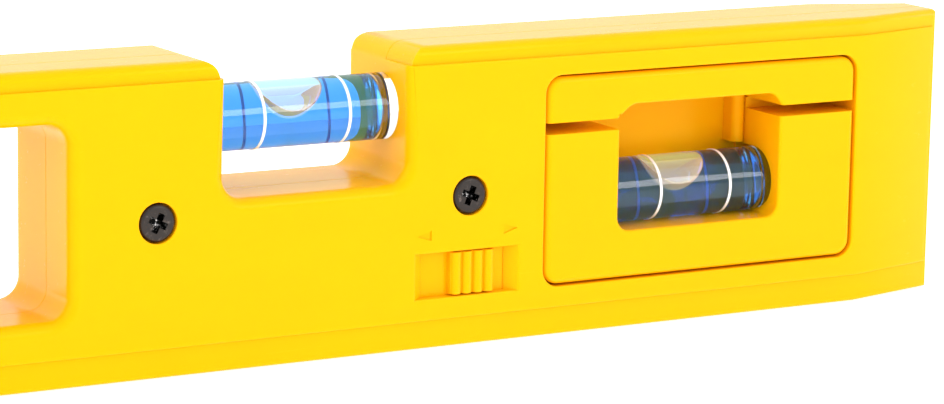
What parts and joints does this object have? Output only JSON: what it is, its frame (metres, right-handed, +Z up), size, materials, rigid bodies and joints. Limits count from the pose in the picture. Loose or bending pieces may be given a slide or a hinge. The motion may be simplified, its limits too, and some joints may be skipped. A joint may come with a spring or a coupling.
{
  "type": "spirit level",
  "caption": "Short plastic spirit level with tapered ends, a notch vial, a plumb window and a latched pull-out line level.",
  "frame": {"origin": "middle of the measuring base, on the surface it stands on", "axes": "+X along the length towards the line level's end, +Y from the front face to the rear face, +Z up from the base"},
  "size_m": [0.229, 0.02, 0.0455],
  "materials": {
    "shell_yellow": "glossy moulded",
    "line_yellow": "glossy moulded",
    "latch_yellow": "glossy moulded",
    "screw_black": "black oxide",
    "vial_acrylic": "polished clear",
    "spirit_blue": "clear blue liquid",
    "bubble_air": "clear",
    "mark_white": "painted"
  },
  "bodies": {
    "level": {"front_shell": "shell_yellow", "rear_shell": "shell_yellow", "case_screws": "screw_black", "pocket_screw": "screw_black", "level_vial_tube": "vial_acrylic", "level_vial_plug": "vial_acrylic", "level_vial_spirit": "spirit_blue", "level_vial_marks": "mark_white", "plumb_vial_tube": "vial_acrylic", "plumb_vial_plug": "vial_acrylic", "plumb_vial_spirit": "spirit_blue", "plumb_vial_marks": "mark_white", "latch_keeper": "latch_yellow", "latch_keeper_screws": "screw_black"},
    "latch": {"latch_slider": "latch_yellow"},
    "line_level": {"line_level_body": "line_yellow", "line_level_back": "line_yellow", "line_level_screws": "screw_black", "line_vial_tube": "vial_acrylic", "line_vial_plug": "vial_acrylic", "line_vial_spirit": "spirit_blue", "line_vial_marks": "mark_white"},
    "level_bubble": {"level_vial_bubble": "bubble_air"},
    "plumb_bubble": {"plumb_vial_bubble": "bubble_air"},
    "line_bubble": {"line_vial_bubble": "bubble_air"}
  },
  "joints": [
    {"name": "latch_slide", "type": "slide", "parent": "level", "child": "latch", "axis": [1, 0, 0], "range_m": [-0.0042, 0.0018]},
    {"name": "line_level_draw", "type": "slide", "parent": "level", "child": "line_level", "axis": [0, -1, 0], "range_m": [0, 0.03]},
    {"name": "level_bubble_run", "type": "slide", "parent": "level", "child": "level_bubble", "axis": [1, 0, 0], "range_m": [-0.0065, 0.0083], "stiffness_N_per_m": 0.5},
    {"name": "plumb_bubble_run", "type": "slide", "parent": "level", "child": "plumb_bubble", "axis": [0, 0, 1], "range_m": [-0.0148, 0], "stiffness_N_per_m": 2, "springref_m": 0.01},
    {"name": "line_bubble_run", "type": "slide", "parent": "line_level", "child": "line_bubble", "axis": [1, 0, 0], "range_m": [-0.0059, 0.0089], "stiffness_N_per_m": 0.5}
  ]
}
